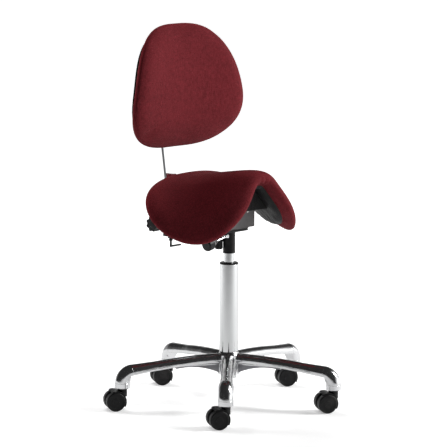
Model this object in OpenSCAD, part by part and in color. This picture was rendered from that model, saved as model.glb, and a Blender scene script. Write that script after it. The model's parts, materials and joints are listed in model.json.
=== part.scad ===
// Saddle chair with backrest, gas lift, five-star base and twin-wheel castors.
// Millimetres. Origin on the floor at the column axis, +Z up, -Y to the front
// of the seat, +X to the sitter's left.

/* [Castors] */
// tread diameter of a castor wheel
wheel_d = 50; // [40:0.5:65]
// outer face of a wheel from the middle of its castor
wheel_out = 26.3; // [20:0.1:32]
// inner face of a wheel from the middle of its castor
wheel_in = 5.7; // [5:0.1:9]
// how far the axle trails behind the swivel axis
trail = 21.7; // [15:0.1:30]
// direction in which the castors trail
trail_turn = 149.5; // [-180:0.5:180]
// diameter of the axle
axle_d = 6; // [4:0.5:8]
// diameter of the castor stem
stem_d = 11; // [8:0.5:12]

/* [Base] */
// distance from the column axis to a castor stem
arm_reach = 290.6; // [240:0.5:340]
// direction of the first arm
arm_turn = -137.4; // [-180:0.1:180]
// number of arms
arm_count = 5; // [3:1:6]
// height of the arm centre line at the hub
arm_z = 120; // [100:0.5:140]
// half width of the arm at the hub
arm_half = 16.3; // [12:0.1:20]
// radius of the bow of the arm seen from the side
bow_r = 1490; // [900:10:2500]
// slope at the end of the bow
bow_angle = 7.4; // [3:0.1:12]
// where the bow starts, from the column axis
bow_start = 8; // [0:1:30]
// radius of the elbow centre line
elbow_r = 29.3; // [22:0.1:36]
// diameter of the castor socket
socket_d = 39.4; // [34:0.1:44]
// height of the socket's lower face
socket_z = 58.5; // [52:0.1:70]
// depth of the arm below its centre line
arm_below = 6.5; // [4:0.1:12]
// wall of the cast arm
arm_wall = 3; // [2:0.1:5]
// hub radius
hub_r = 29; // [27:0.1:36]
// hub underside
hub_z = 80; // [70:1:95]

/* [Column] */
// outer diameter of the column tube
column_d = 50; // [40:1:60]
// top of the column tube
column_top = 375; // [300:1:450]
// lower end of the column tube
column_low = 69; // [60:1:78]
// diameter of the sliding pressure tube
tube_d = 28; // [25:0.5:32]
// top of the pressure tube
tube_top = 451; // [430:1:470]
// lower end of the cone socket
cone_z = 404; // [395:1:420]
// outer diameter of the cone socket
cone_d = 32.4; // [30:0.1:40]

/* [Mechanism] */
// underside of the mechanism base plate
plate_z = 463; // [455:1:475]
// height of the tilt pin
tilt_z = 494; // [485:1:505]
// tilt pin behind the column axis
tilt_y = 20; // [0:1:40]
// underside of the seat plate
seat_plate_z = 518; // [512:1:530]
// half width of the front flange of the seat plate
flange_half = 50; // [40:1:60]
// front face of the seat plate's flange
flange_y = -44; // [-60:1:-30]
// lower edge of the front flange
flange_z = 474; // [470:1:490]

/* [Lift lever] */
// height of the lever pivot
lever_z = 452; // [446:1:456]
// lever pivot from the column axis
lever_x = -24; // [-30:0.5:-20]
// sideways place of the lever rod
lever_y = -14; // [-20:0.5:-8]
// droop of the lever rod
lever_slope = 12; // [0:0.5:15]
// length of the lever rod from the pivot
lever_len = 78; // [50:1:110]
// diameter of the round lever knob
knob_d = 33; // [24:1:40]

/* [Back arm and bar] */
// height of the middle of the back arm
arm_bar_z = 437; // [430:0.5:448]
// rear end of the back arm
arm_bar_end = 248; // [215:1:260]
// width of the flat bars
bar_w = 38; // [30:1:45]
// thickness of the upright bar
bar_t = 8; // [5:0.5:9]
// height of the back hinge
hinge_z = 467; // [455:1:475]
// back hinge behind the column axis
hinge_y = 201.5; // [180:0.5:210]
// backward lean of the upright bar
bar_lean = 8.5; // [4:0.5:14]
// length of the upright bar above the hinge
bar_len = 440; // [350:5:480]
// outer face of the star knob
star_out = -88; // [-100:1:-60]

/* [Saddle] */
// middle of the seat behind the column axis
seat_y = 22.5; // [0:0.5:40]
// half length of the seat
seat_half = 147.4; // [120:0.2:170]
// crown height at the nose
crown_nose = 609.5; // [590:0.5:625]
// crown height at the front quarter
crown_front = 610.2; // [590:0.5:625]
// crown height in the middle
crown_mid = 600.9; // [585:0.5:620]
// crown height at the rear quarter
crown_rear = 590.6; // [575:0.5:615]
// crown height at the tail
crown_tail = 587.9; // [575:0.5:615]
// half width over the curve at the nose
arc_nose = 150; // [110:1:190]
// half width over the curve at the front quarter
arc_front = 233.6; // [190:0.5:270]
// half width over the curve in the middle
arc_mid = 253.9; // [210:0.5:290]
// half width over the curve at the rear quarter
arc_rear = 241.7; // [200:0.5:280]
// half width over the curve at the tail
arc_tail = 191.6; // [150:0.5:240]
// slope of the flap at the nose
flap_nose = 50.5; // [35:0.5:70]
// slope of the flap in the middle
flap_mid = 42.4; // [30:0.5:60]
// slope of the flap at the tail
flap_tail = 5.8; // [0:0.5:30]
// curve length over which the flap reaches its slope, in the middle
turn_mid = 96; // [60:1:140]
// how much that length grows towards the tail
turn_grow = 53; // [0:1:90]
// how far the flap edge sweeps forward
flap_sweep = 41; // [0:1:60]
// how much of that sweep the lower edge gives back
flap_return = 11.4; // [0:0.2:30]
// squareness of the saddle outline
seat_square = 5; // [2:0.1:8]
// thickness of the padding
seat_pad = 39.6; // [25:0.2:60]
// part of the underside that the lining covers
lining_part = 0.8; // [0.6:0.01:0.9]

/* [Backrest] */
// middle of the backrest behind the column axis
back_y = 178.3; // [160:0.5:200]
// height of the middle of the backrest
back_z = 833.3; // [800:0.5:870]
// lean of the backrest
back_lean = 3.8; // [0:0.1:12]
// half height of the backrest
back_half_h = 164.7; // [140:0.5:190]
// half width at the bottom
back_low = 206; // [170:1:230]
// half width at the lower quarter
back_quarter = 208.8; // [170:1:230]
// half width in the middle
back_mid = 193.4; // [160:1:220]
// half width at the upper quarter
back_upper = 170.3; // [140:1:210]
// half width at the top
back_top = 149.5; // [110:1:190]
// how far the sides wrap forward
back_wrap = 33; // [0:1:60]
// how much more they wrap at the top
back_wrap_top = 15; // [0:1:30]
// how far the middle stands in front of the top and bottom
back_belly = 22.8; // [0:0.2:40]
// how much further the bottom lies back than the top
back_tuck = 12.1; // [0:0.1:25]
// squareness of the backrest outline
back_square = 3; // [2:0.1:5]
// thickness of the backrest padding
back_pad = 45.8; // [30:0.2:60]

/* [Hidden] */
$fn = 96;
fit = 0.05;
// rib across the hollow of an arm
rib = 2.6;
// place of the height slider along the upright bar
slider_at = 364;
// steps in which the curve of a flap is added up
arc_steps = 12;
// from the underside of the padding to the seat block
block_gap = 10.2;

wheel_r = wheel_d / 2;
socket_r = socket_d / 2;
arm_step = 360 / arm_count;
elbow_x = arm_reach - elbow_r;
bow_end_x = bow_start + bow_r * sin(bow_angle);
bow_end_z = arm_z - bow_r * (1 - cos(bow_angle));
taper_end_x = elbow_x + elbow_r * sin(bow_angle);
taper_len = (taper_end_x - bow_end_x) / cos(bow_angle);
taper_end_z = bow_end_z - taper_len * sin(bow_angle);
elbow_z = taper_end_z - elbow_r * cos(bow_angle);
tube_r = tube_d / 2;
column_r = column_d / 2;
cone_r = cone_d / 2;
mount_face = back_pad / 2 + 6.5;
metal = [0.82, 0.83, 0.85];
polished = [0.75, 0.76, 0.78];
black = [0.06, 0.06, 0.065];
steel = [0.42, 0.43, 0.45];
fabric_red = [0.38, 0.08, 0.1];

// ---------- small helpers ----------

module along_x(x, y, z) {
  translate([x, y, z]) rotate([0, 90, 0]) children();
}

module ring(inner, outer, low, high) {
  translate([0, 0, low]) difference() {
    cylinder(r = outer, h = high - low);
    translate([0, 0, -1]) cylinder(r = inner, h = high - low + 2);
  }
}

module block(x0, x1, y0, y1, z0, z1) {
  translate([x0, y0, z0]) cube([x1 - x0, y1 - y0, z1 - z0]);
}

module each_arm() {
  for (i = [0:arm_count - 1]) rotate([0, 0, arm_turn + arm_step * i]) children();
}

module at_castor(i) {
  rotate([0, 0, arm_turn + arm_step * (i - 1)]) translate([arm_reach, 0, 0])
    rotate([0, 0, trail_turn - arm_turn - arm_step * (i - 1)]) children();
}

// ---------- five-star base ----------

module arm_round(r, below) {
  intersection() {
    circle(r = r);
    translate([-below, -2 * r]) square([2 * r + below, 4 * r]);
  }
}

module bow(r, below, x_from) {
  start_angle = asin((x_from - bow_start) / bow_r);
  translate([bow_start, 0, arm_z - bow_r]) rotate([90, 0, 0])
    rotate_extrude(angle = bow_angle - start_angle, start = 90 - bow_angle, $fn = 720)
      translate([bow_r, 0]) arm_round(r, below);
}

module taper(r1, r2, length, below) {
  translate([bow_end_x, 0, bow_end_z]) rotate([0, 90 + bow_angle, 0]) intersection() {
    translate([0, 0, -1]) cylinder(r1 = r1, r2 = r2, h = length + 1);
    translate([-2 * r2, -2 * r2, -2]) cube([2 * r2 + below, 4 * r2, length + 4]);
  }
}

module elbow() {
  slope = tan(bow_angle);
  under_z = taper_end_z - arm_below / cos(bow_angle);
  inner_x = arm_reach - socket_r + 0.3;
  difference() {
    translate([elbow_x, 0, elbow_z]) rotate([90, 0, 0])
      rotate_extrude(angle = 90 - bow_angle) translate([elbow_r, 0]) circle(r = socket_r);
    translate([0, 30, 0]) rotate([90, 0, 0]) linear_extrude(60)
      polygon([[200, under_z + (taper_end_x - 200) * slope],
        [inner_x, under_z - (inner_x - taper_end_x) * slope], [inner_x, 40], [200, 40]]);
  }
}

module channel_profile(r) {
  difference() {
    circle(r = r);
    translate([-2 * r, -rib / 2]) square([4 * r, rib]);
  }
}

module bow_channel(x_from, x_to) {
  low = asin((x_from - bow_start) / bow_r);
  high = asin((x_to - bow_start) / bow_r);
  translate([bow_start, 0, arm_z - bow_r]) rotate([90, 0, 0])
    rotate_extrude(angle = high - low, start = 90 - high, $fn = 720)
      translate([bow_r, 0]) channel_profile(arm_half - arm_wall);
}

module arm_hollow() {
  cells = 4;
  first = hub_r + 8;
  cell = (bow_end_x - rib - first) / cells;
  for (k = [0:cells - 1])
    bow_channel(first + k * cell, first + (k + 1) * cell - rib);
  translate([bow_end_x, 0, bow_end_z]) rotate([0, 90 + bow_angle, 0])
    translate([0, 0, 1]) linear_extrude(taper_len - 10) channel_profile(arm_half - arm_wall);
}

module gusset() {
  half = 9;
  reach = 146;
  curve = 190;
  translate([0, half, 0]) rotate([90, 0, 0]) linear_extrude(2 * half) difference() {
    translate([20, hub_z]) square([reach - 20, 30]);
    translate([reach - 34, hub_z - curve + 24.5]) circle(r = curve, $fn = 360);
  }
}

module base_star() {
  flare = 14;
  color(metal) difference() {
    union() {
      each_arm() {
        difference() {
          union() {
            bow(arm_half, arm_below, 12);
            taper(arm_half - 0.2, socket_r - 0.2, taper_len + 1, arm_below - 0.2);
          }
          arm_hollow();
        }
        elbow();
        gusset();
        translate([arm_reach, 0, socket_z])
          cylinder(r = socket_r + 0.2, h = elbow_z + 1 - socket_z);
      }
      translate([0, 0, hub_z]) cylinder(r = hub_r, h = arm_z + 8 - hub_z);
      rotate_extrude() difference() {
        translate([0, arm_z + 8]) square([column_r + flare, flare]);
        translate([column_r + flare, arm_z + 8 + flare]) circle(r = flare);
        translate([column_r + flare - 10, arm_z]) square([20, 40]);
      }
    }
    translate([0, 0, hub_z - 1]) cylinder(r = column_r + 0.01, h = 90);
    each_arm() translate([arm_reach, 0, socket_z - 1])
      cylinder(d = stem_d + 0.02, h = 29);
  }
}

// ---------- castors ----------

module castor_stems() {
  color(steel) for (i = [1:arm_count]) at_castor(i) {
    translate([0, 0, 42]) cylinder(d = stem_d - 2, h = 16.5);
    translate([0, 0, socket_z]) cylinder(d = stem_d, h = 26);
  }
}

module castor_housing(i) {
  hood_in = wheel_r + 0.9;
  hood_out = wheel_r + 3.6;
  hood_half = 22.5;
  web = 9.6;
  from = 68;
  sweep = 142;
  color(black) at_castor(i) difference() {
    union() {
      difference() {
        translate([0, 0, 36]) cylinder(r = 12.5, h = socket_z - 0.7 - 36);
        for (side = [-1, 1]) translate([trail, side * (web / 2 + 10), wheel_r])
          rotate([90, 0, 0]) translate([0, 0, -10]) cylinder(r = hood_in + 1.2, h = 20);
      }
      translate([0, 0, socket_z - 2.4]) cylinder(r = 15.5, h = 1.7);
      translate([trail, 0, wheel_r]) rotate([90, 0, 0]) {
        rotate_extrude(angle = sweep, start = from)
          translate([hood_in, -hood_half]) square([hood_out - hood_in, 2 * hood_half]);
        rotate_extrude(angle = sweep, start = from)
          translate([4, -web / 2]) square([hood_in - 3, web]);
        translate([0, 0, -web / 2 - 0.3]) cylinder(r = 11, h = web + 0.6);
      }
    }
    translate([0, 0, 40]) cylinder(d = stem_d - 2 + 2 * fit, h = 40);
    translate([trail, 0, wheel_r]) rotate([90, 0, 0])
      translate([0, 0, -20]) cylinder(d = axle_d + 0.01, h = 40);
  }
}

module castor_axle(i) {
  color(steel) at_castor(i) translate([trail, 0, wheel_r]) rotate([90, 0, 0])
    translate([0, 0, -21]) cylinder(d = axle_d, h = 42);
}

module wheel_shape() {
  round = 3.2;
  face = wheel_out - wheel_in;
  rim = wheel_r - 3.4;
  rotate_extrude() difference() {
    union() {
      translate([0, round]) square([wheel_r, face - 2 * round]);
      square([wheel_r - round, face]);
      for (y = [round, face - round]) translate([wheel_r - round, y]) circle(r = round);
    }
    translate([9, face - 1.3]) square([rim - 9, 3]);
    translate([8, -1]) square([rim - 9, 3.5]);
    translate([-1, -1]) square([axle_d / 2 + fit + 1, 17.6]);
  }
}

module castor_wheel(i, side) {
  color([0.08, 0.08, 0.085]) at_castor(i) translate([trail, side * wheel_in, wheel_r])
    rotate([-90 * side, 0, 0]) wheel_shape();
}

module castor_1_housing() castor_housing(1);
module castor_2_housing() castor_housing(2);
module castor_3_housing() castor_housing(3);
module castor_4_housing() castor_housing(4);
module castor_5_housing() castor_housing(5);
module castor_1_axle() castor_axle(1);
module castor_2_axle() castor_axle(2);
module castor_3_axle() castor_axle(3);
module castor_4_axle() castor_axle(4);
module castor_5_axle() castor_axle(5);
module castor_1_wheel_a() castor_wheel(1, 1);
module castor_2_wheel_a() castor_wheel(2, 1);
module castor_3_wheel_a() castor_wheel(3, 1);
module castor_4_wheel_a() castor_wheel(4, 1);
module castor_5_wheel_a() castor_wheel(5, 1);
module castor_1_wheel_b() castor_wheel(1, -1);
module castor_2_wheel_b() castor_wheel(2, -1);
module castor_3_wheel_b() castor_wheel(3, -1);
module castor_4_wheel_b() castor_wheel(4, -1);
module castor_5_wheel_b() castor_wheel(5, -1);

// ---------- column and gas lift ----------

module column_tube() {
  floor_z = 80;
  wall = 2.5;
  color(polished) rotate_extrude() polygon([[column_r, column_top], [column_r, 84],
    [column_r - 5, 79], [column_r - 5, column_low], [6, column_low], [6, floor_z],
    [column_r - wall, floor_z], [column_r - wall, column_top]]);
}

module column_bushing() {
  color(black) {
    difference() {
      union() {
        translate([0, 0, 300]) cylinder(r = column_r - 2.55, h = column_top - 300);
        translate([0, 0, column_top]) cylinder(r = column_r - 0.6, h = 2.6);
        translate([0, 0, column_top + 2.6])
          cylinder(r1 = column_r - 0.6, r2 = column_r - 2.6, h = 1.4);
      }
      translate([0, 0, 299]) cylinder(r = tube_r + fit, h = 90);
    }
  }
}

module piston_rod() {
  color(steel) {
    translate([0, 0, 65.5]) cylinder(r = 5, h = 254.5);
    translate([0, 0, 308]) cylinder(r = 11.6, h = 10);
    translate([0, 0, 86]) cylinder(r = 7.5, h = 1.5);
  }
}

module thrust_bearing() {
  color(steel) {
    ring(5.05, 12, 80.02, 82);
    ring(5.05, 12, 84, 86);
    ring(6.2, 10.8, 82, 84);
  }
}

module rod_bumper() {
  color(black) ring(5.05, 10.5, 87.5, 94);
}

module retaining_clip() {
  color(steel) {
    ring(5.02, 11, 66.9, 68.9);
    ring(5.02, 8, 65.9, 66.9);
  }
}

module pressure_tube() {
  color(polished) difference() {
    union() {
      translate([0, 0, 96]) cylinder(r = tube_r, h = tube_top - 4 - 96);
      translate([0, 0, tube_top - 4]) cylinder(r1 = tube_r, r2 = tube_r - 2, h = 4);
    }
    translate([0, 0, 110]) cylinder(r = tube_r - 2, h = tube_top - 126);
    translate([0, 0, 90]) cylinder(r = 5 + fit, h = 30);
    translate([0, 0, tube_top - 17]) cylinder(r = 4 + fit, h = 30);
  }
}

module valve_pin() {
  color(steel) {
    translate([0, 0, tube_top - 10]) cylinder(r = 4, h = 16.4);
    translate([0, 0, tube_top + 6.4]) cylinder(r1 = 4, r2 = 3, h = 0.6);
  }
}

module cone_socket() {
  color(black) difference() {
    union() {
      translate([0, 0, cone_z + 3]) cylinder(r = cone_r, h = plate_z - cone_z - 3);
      translate([0, 0, cone_z + 1]) cylinder(r1 = cone_r + 0.7, r2 = cone_r, h = 2);
      translate([0, 0, cone_z]) cylinder(r1 = cone_r + 0.1, r2 = cone_r + 0.7, h = 1);
      for (y = [-9, 6]) block(lever_x - 3.2, -10, y, y + 3, lever_z - 6, plate_z);
    }
    translate([0, 0, cone_z - 1]) cylinder(r = tube_r + 0.01, h = tube_top - cone_z + 1);
    translate([0, 0, 440]) cylinder(r = 9, h = 40);
    block(lever_x - 10, 6, -4.2, 4.2, lever_z - 5, plate_z + 1);
    translate([lever_x, 20, lever_z]) rotate([90, 0, 0]) cylinder(r = 2, h = 40);
  }
}

// ---------- mechanism ----------

module housing() {
  half = 42;
  wall = 3;
  low = plate_z + 5;
  high = 505;
  color(steel) difference() {
    union() {
      difference() {
        block(-half, half, -30, 88, low, high);
        block(-half + wall, half - wall, -30 + wall, 88 - wall, low + wall, high + 1);
      }
      for (side = [-1, 1]) along_x(side * 39 - 5, tilt_y, tilt_z) cylinder(r = 9, h = 10);
      translate([-24, 14.5, low]) cylinder(r = 9, h = 14);
    }
    along_x(-60, tilt_y, tilt_z) cylinder(r = 5.01, h = 120);
    translate([-24, 14.5, low - 1]) cylinder(r = 4 + fit, h = 20);
  }
}

module base_plate() {
  color(black) difference() {
    block(-38, 38, -32, 70, plate_z, plate_z + 5);
    translate([-24, 14.5, plate_z - 1]) cylinder(r = 4 + fit, h = 7);
    for (x = [-30, 30], y = [-24, 62]) translate([x, y, plate_z - 1]) cylinder(r = 2.6, h = 7);
  }
}

module tilt_pin() {
  color(polished) {
    along_x(-52, tilt_y, tilt_z) cylinder(r = 5, h = 104);
    for (side = [-1, 1]) along_x(side * 53.2 - 1.2, tilt_y, tilt_z) cylinder(r = 7.5, h = 2.4);
  }
}

module lever_pin() {
  color(polished) translate([lever_x, 9.5, lever_z]) rotate([90, 0, 0])
    cylinder(r = 1.98, h = 28.5);
}

module lift_lever() {
  color(polished) difference() {
    union() {
      translate([lever_x, 5.6, lever_z]) rotate([90, 0, 0]) cylinder(r = 4.2, h = 11.2);
      translate([lever_x, -9.5, lever_z]) rotate([90, 0, 0]) cylinder(r = 4.2, h = 9);
      block(lever_x - 7, lever_x - 3.5, -18.5, 5.6, lever_z - 3, lever_z + 3);
      block(lever_x - 2, 4, -3, 3, tube_top + 8, tube_top + 10.8);
      block(lever_x - 2, lever_x + 3, -3, 3, lever_z, tube_top + 10.8);
      translate([lever_x, lever_y, lever_z]) rotate([0, -90 - lever_slope, 0])
        translate([0, 0, 4]) cylinder(r = 3.2, h = lever_len - 4);
    }
    translate([lever_x, 20, lever_z]) rotate([90, 0, 0]) cylinder(r = 2.03, h = 60);
  }
}

module on_lever(distance) {
  translate([lever_x, lever_y, lever_z]) rotate([0, -90 - lever_slope, 0])
    translate([0, 0, distance]) children();
}

module lever_ferrule() {
  color(steel) on_lever(38) difference() {
    union() {
      cylinder(r1 = 5, r2 = 10.5, h = 14);
      translate([0, 0, 14]) cylinder(r = 10.5, h = 6);
    }
    translate([0, 0, -1]) cylinder(r = 3.22, h = 30);
    translate([0, -20, 9]) rotate([-90, 0, 0]) cylinder(r = 3, h = 14);
  }
}

module lever_knob() {
  thick = 21;
  soft = 4;
  color(black) on_lever(58.2) difference() {
    rotate_extrude() union() {
      square([knob_d / 2 - soft, thick]);
      translate([0, soft]) square([knob_d / 2, thick - 2 * soft]);
      for (y = [soft, thick - soft]) translate([knob_d / 2 - soft, y]) circle(r = soft);
    }
    translate([0, 0, -1]) cylinder(r = 3.22, h = 21);
  }
}

module tension_knob() {
  grips = 12;
  color(black) translate([-24, 14.5, 0]) {
    difference() {
      union() {
        translate([0, 0, 417]) cylinder(r = 10.4, h = 22);
        translate([0, 0, 415]) cylinder(r1 = 8.4, r2 = 10.4, h = 2);
        translate([0, 0, 439]) cylinder(r1 = 10.4, r2 = 7, h = 2);
      }
      for (i = [1:grips]) rotate([0, 0, 360 / grips * i]) translate([11.4, 0, 418])
        cylinder(r = 1.8, h = 18, $fn = 24);
    }
    translate([0, 0, 441]) cylinder(r = 4, h = 36);
  }
}

// ---------- back arm, hinge and bar ----------

module rear_bracket() {
  low = arm_bar_z - 7;
  color(black) difference() {
    block(-22, 22, 26, 82, low, plate_z);
    block(-bar_w / 2 - 0.02, bar_w / 2 + 0.02, 29.9, 90, arm_bar_z - 4.02, arm_bar_z + 4.02);
    block(-16, 16, 31, 76, arm_bar_z + 8, plate_z - 3);
  }
}

module back_arm() {
  color(polished) difference() {
    block(-bar_w / 2, bar_w / 2, 30, arm_bar_end - bar_w / 2, arm_bar_z - 4, arm_bar_z + 4);
    for (y = [96, 116, 136]) translate([0, y, 400]) cylinder(r = 3, h = 60);
  }
  color(polished) intersection() {
    translate([0, arm_bar_end - bar_w / 2, arm_bar_z - 4]) cylinder(r = bar_w / 2, h = 8);
    block(-30, 30, arm_bar_end - bar_w / 2, 260, 400, 460);
  }
}

module back_block() {
  ear = 13;
  inner = bar_w / 2 + 2;
  outer = inner + 4.5;
  color(black) difference() {
    union() {
      block(-outer, outer, hinge_y - 22, hinge_y + 20, arm_bar_z - 11, arm_bar_z + 11);
      for (x = [-outer, inner]) {
        block(x, x + 4.5, hinge_y - ear, hinge_y + ear, arm_bar_z + 10, hinge_z);
        along_x(x, hinge_y, hinge_z) cylinder(r = ear, h = 4.5);
      }
      translate([-9, hinge_y + 7, arm_bar_z - 17]) cylinder(r = 8, h = 8);
    }
    block(-bar_w / 2 - fit, bar_w / 2 + fit, 150, 230, arm_bar_z - 4 - fit, arm_bar_z + 4 + fit);
    along_x(-40, hinge_y, hinge_z) cylinder(r = 5.01, h = 80);
    translate([-9, hinge_y + 7, 400]) cylinder(r = 3 + fit, h = 34);
  }
}

module clamp_screw() {
  foot = 35;
  foot_z = 398;
  color(black) translate([-9, hinge_y + 7, 0]) {
    translate([0, 0, foot_z]) cylinder(r = 3, h = 34.4);
    translate([0, 0, foot_z]) sphere(r = 3.3);
    along_x(0, 0, foot_z) cylinder(r = 2.6, h = foot);
    translate([foot, 0, foot_z]) sphere(r = 2.9);
    translate([0, 0, foot_z + 15]) cylinder(r = 5, h = 5);
  }
}

module hinge_bolt() {
  color(polished) {
    along_x(-60, hinge_y, hinge_z) cylinder(r = 5, h = 86);
    along_x(26, hinge_y, hinge_z) cylinder(r = 8, h = 5, $fn = 6);
    along_x(-44, hinge_y, hinge_z) cylinder(r = 8, h = 18.4);
  }
}

module star_knob() {
  lobes = 8;
  color(black) {
    difference() {
      along_x(star_out, hinge_y, hinge_z) cylinder(r = 20.5, h = 20);
      for (i = [1:lobes]) translate([0, hinge_y, hinge_z]) rotate([360 / lobes * i, 0, 0])
        along_x(star_out - 1, 0, 23.5) cylinder(r = 6.4, h = 22, $fn = 48);
      along_x(-76, hinge_y, hinge_z) cylinder(r = 5.01, h = 30);
    }
    difference() {
      along_x(star_out + 20, hinge_y, hinge_z) cylinder(r1 = 16, r2 = 9, h = 8);
      along_x(-76, hinge_y, hinge_z) cylinder(r = 5.01, h = 50);
    }
    along_x(star_out - 2, hinge_y, hinge_z) cylinder(r1 = 7, r2 = 9, h = 2);
  }
}

module on_bar(distance) {
  translate([0, hinge_y, hinge_z]) rotate([-bar_lean, 0, 0]) translate([0, 0, distance])
    children();
}

module back_bar() {
  half = bar_w / 2;
  color(polished) on_bar(0) difference() {
    union() {
      translate([-half, -bar_t / 2, 0]) cube([bar_w, bar_t, bar_len - half]);
      translate([0, bar_t / 2, bar_len - half]) rotate([90, 0, 0]) cylinder(r = half, h = bar_t);
      along_x(-half - 1, 0, 0) cylinder(r = 10, h = bar_w + 2);
    }
    along_x(-30, 0, 0) cylinder(r = 5 + fit, h = 60);
    for (z = [300:20:380]) translate([0, 20, z]) rotate([90, 0, 0]) cylinder(r = 3.2, h = 40);
  }
}

module back_slider() {
  half = bar_w / 2 + 5;
  color(black) on_bar(slider_at) difference() {
    union() {
      translate([-half, -bar_t / 2 - 6, -34]) cube([2 * half, bar_t + 12, 68]);
      for (x = [-13, 7]) {
        translate([x, -20, -9]) cube([6, 12, 18]);
        along_x(x, -20, 0) cylinder(r = 9, h = 6);
      }
      translate([0, 18, 0]) rotate([90, 0, 0]) cylinder(r = 11, h = 10);
    }
    translate([-bar_w / 2 - fit, -bar_t / 2 - fit, -40]) cube([bar_w + 2 * fit, bar_t + 2 * fit, 80]);
    along_x(-30, -20, 0) cylinder(r = 4.01, h = 60);
    translate([0, 40, 0]) rotate([90, 0, 0]) cylinder(r = 4 + fit, h = 36);
  }
}

module height_knob() {
  grips = 10;
  color(black) on_bar(slider_at) {
    translate([0, 22, 0]) rotate([90, 0, 0]) cylinder(r = 4, h = 17.5);
    difference() {
      translate([0, 37, 0]) rotate([90, 0, 0]) cylinder(r1 = 15, r2 = 18, h = 18);
      for (i = [1:grips]) rotate([0, 360 / grips * i, 0]) translate([20, 40, 0])
        rotate([90, 0, 0]) cylinder(r = 3.6, h = 24, $fn = 32);
    }
  }
}

module back_pin() {
  color(polished) on_bar(slider_at) along_x(-17, -20, 0) cylinder(r = 4, h = 34);
}

// ---------- saddle surface ----------

function through5(a, b, c, d, e, t) =
  a * (t + 0.5) * t * (t - 0.5) * (t - 1) / 1.5
  - b * (t + 1) * t * (t - 0.5) * (t - 1) / 0.375
  + c * (t + 1) * (t + 0.5) * (t - 0.5) * (t - 1) / 0.25
  - d * (t + 1) * (t + 0.5) * t * (t - 1) / 0.375
  + e * (t + 1) * (t + 0.5) * t * (t - 0.5) / 1.5;

function through3(a, b, c, t) = b + (c - a) / 2 * t + ((a + c) / 2 - b) * t * t;

function flap_angle(arc, t) =
  let (part = min(1, arc / (turn_mid + turn_grow * t)))
  through3(flap_nose, flap_mid, flap_tail, t) * part * part * (3 - 2 * part);

function arc_sum(arc, t, down, i = 0, total = 0) = i == arc_steps ? total * arc / arc_steps :
  let (a = flap_angle(arc * (i + 0.5) / arc_steps, t))
  arc_sum(arc, t, down, i + 1, total + (down ? sin(a) : cos(a)));

function saddle(s, t) =
  let (arc = abs(s) * through5(arc_nose, arc_front, arc_mid, arc_rear, arc_tail, t))
  [(s < 0 ? -1 : 1) * arc_sum(arc, t, false),
    seat_y + seat_half * t - flap_sweep * s * s + flap_return * s ^ 4
      + t * (4 * s * s - 10 * s ^ 4),
    through5(crown_nose, crown_front, crown_mid, crown_rear, crown_tail, t)
      - arc_sum(arc, t, true)];

// ---------- backrest surface ----------

function backrest(s, t) =
  let (
    x = s * through5(back_low, back_quarter, back_mid, back_upper, back_top, t),
    side = x / 190,
    depth = back_belly * t * t - back_tuck * t ^ 3 - (back_wrap + back_wrap_top * t) * side * side,
    up = back_half_h * t)
  [x, back_y + up * sin(back_lean) + depth * cos(back_lean),
    back_z + up * cos(back_lean) - depth * sin(back_lean)];

// ---------- solids built from a surface ----------

function surface_at(kind, s, t) = kind == "seat" ? saddle(s, t) : backrest(s, t);

function unit(v) = v / norm(v);

function out_normal(kind, s, t) =
  let (
    step = 0.002,
    ds = surface_at(kind, s + step, t) - surface_at(kind, s - step, t),
    dt = surface_at(kind, s, t + step) - surface_at(kind, s, t - step),
    n = unit(cross(ds, dt)))
  kind == "seat" ? (n[2] < 0 ? -n : n) : (n[1] > 0 ? -n : n);

function squared(angle, n) =
  let (k = (abs(cos(angle)) ^ n + abs(sin(angle)) ^ n) ^ (-1 / n))
  [cos(angle) * k, sin(angle) * k];

function offset_point(kind, radius, angle, n, off) =
  let (p = radius * squared(angle, n))
  surface_at(kind, p[0], p[1]) + off * out_normal(kind, p[0], p[1]);

// A closed solid between two offsets of a surface. Rings run from the middle of
// one side over the rim to the middle of the other. Each ring is [radius, offset].
module sheet_solid(kind, n, rings, around) {
  count = len(rings);
  step = 360 / around;
  first = [offset_point(kind, 0, 0, n, rings[0][1])];
  last = [offset_point(kind, 0, 0, n, rings[count - 1][1])];
  inside = [for (r = [1:count - 2]) for (i = [0:around - 1])
    offset_point(kind, rings[r][0], i * step, n, rings[r][1])];
  points = concat(first, inside, last);
  end = len(points) - 1;
  rows = count - 2;
  flip = kind == "seat";
  caps = concat(
    [for (i = [0:around - 1]) [0, 1 + i, 1 + (i + 1) % around]],
    [for (i = [0:around - 1])
      [end, 1 + (rows - 1) * around + (i + 1) % around, 1 + (rows - 1) * around + i]]);
  sides = [for (r = [0:rows - 2]) for (i = [0:around - 1]) let (
    a = 1 + r * around + i, b = 1 + r * around + (i + 1) % around,
    c = b + around, d = a + around) each [[a, d, b], [b, d, c]]];
  faces = concat(caps, sides);
  polyhedron(points, flip ? [for (f = faces) [f[2], f[1], f[0]]] : faces);
}

function pad_offset(radius, half, round) = half * sqrt(max(0, 1 - radius ^ round));

module pad(kind, n, half, round, around) {
  radii = [0, 0.13, 0.27, 0.41, 0.55, 0.68, 0.8, 0.88, 0.94, 0.98];
  upper = [for (r = radii) [r, pad_offset(r, half, round)]];
  lower = [for (i = [len(radii) - 1:-1:0]) [radii[i], -pad_offset(radii[i], half, round)]];
  sheet_solid(kind, n, concat(upper, [[1, 0]], lower), around);
}

module skin(kind, n, near, far, reach, around) {
  radii = concat([0, 0.13, 0.27, 0.41, 0.55, 0.68, 0.8], reach > 0.8 ? [reach] : []);
  upper = [for (r = radii) [r, near]];
  lower = [for (i = [len(radii) - 1:-1:0]) [radii[i], far]];
  sheet_solid(kind, n, concat(upper, lower), around);
}

// ---------- seat ----------

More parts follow.
